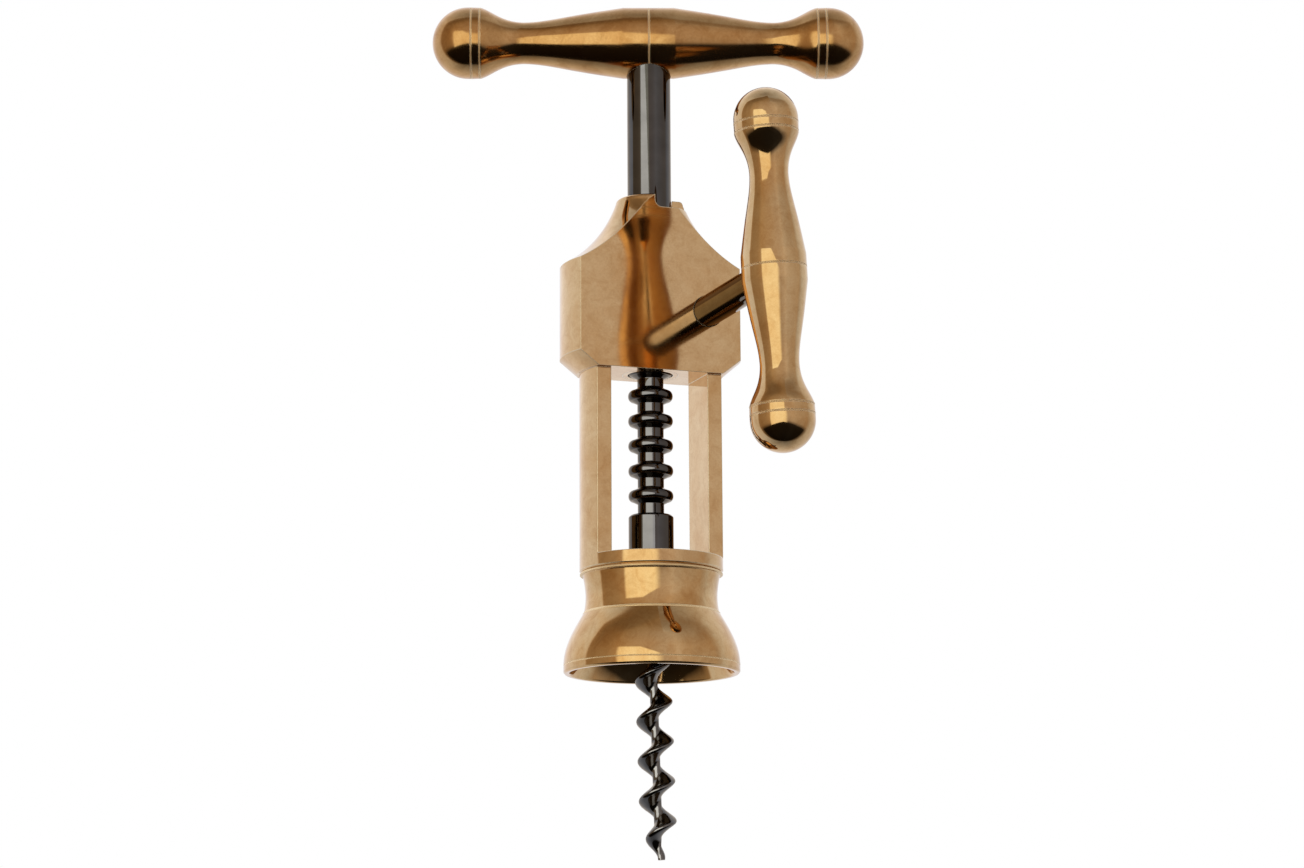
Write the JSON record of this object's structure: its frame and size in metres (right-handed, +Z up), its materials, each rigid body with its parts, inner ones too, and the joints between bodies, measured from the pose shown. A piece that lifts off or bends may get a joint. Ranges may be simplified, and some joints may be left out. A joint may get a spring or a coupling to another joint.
{
  "type": "rack and pinion corkscrew",
  "caption": "Upright corkscrew with a bell-mouthed cage, a rack lifted by a side handle's pinion, and a worm turned by a cross handle.",
  "frame": {"origin": "centre of the bell's bottom rim, where the corkscrew stands on the bottle's neck", "axes": "+Z up the rod's axis, -Y the front face that the pinion's axle leaves, +X the side of the pinion"},
  "size_m": [0.0938, 0.075, 0.1931],
  "materials": {
    "brass": "polished, lightly browned",
    "bronze": "turned bearing bronze",
    "black": "glossy black plating",
    "steel": "machined"
  },
  "bodies": {
    "frame": {"frame": "brass", "bell": "brass", "neck_bush": "bronze", "lower_bush": "brass", "rear_plate": "brass", "plate_screws": "steel", "front_bush": "bronze", "rear_bush": "bronze"},
    "rack": {"rack": "black"},
    "screw": {"upper_rod": "black", "collar": "black", "collar_pin": "steel", "worm": "black", "worm_pin": "steel", "bar_handle": "brass", "top_screw": "steel"},
    "crank": {"pinion": "steel", "pinion_key": "steel", "axle": "black", "side_handle": "brass", "side_grub": "steel"}
  },
  "joints": [
    {"name": "side_crank", "type": "hinge", "parent": "frame", "child": "crank", "pos_m": [0.0112, 0, 0.08095], "axis": [0, 1, 0], "range_deg": [-136, 354]},
    {"name": "rack_slide", "type": "slide", "parent": "frame", "child": "rack", "axis": [0, 0, 1], "range_m": [-0.015, 0.039]},
    {"name": "screw_turn", "type": "hinge", "parent": "rack", "child": "screw", "pos_m": [0, 0, 0.12], "axis": [0, 0, 1], "continuous": true}
  ],
  "couplings": [
    {"joint": "rack_slide", "follows": "side_crank", "m_per_rad": 0.0063002}
  ]
}
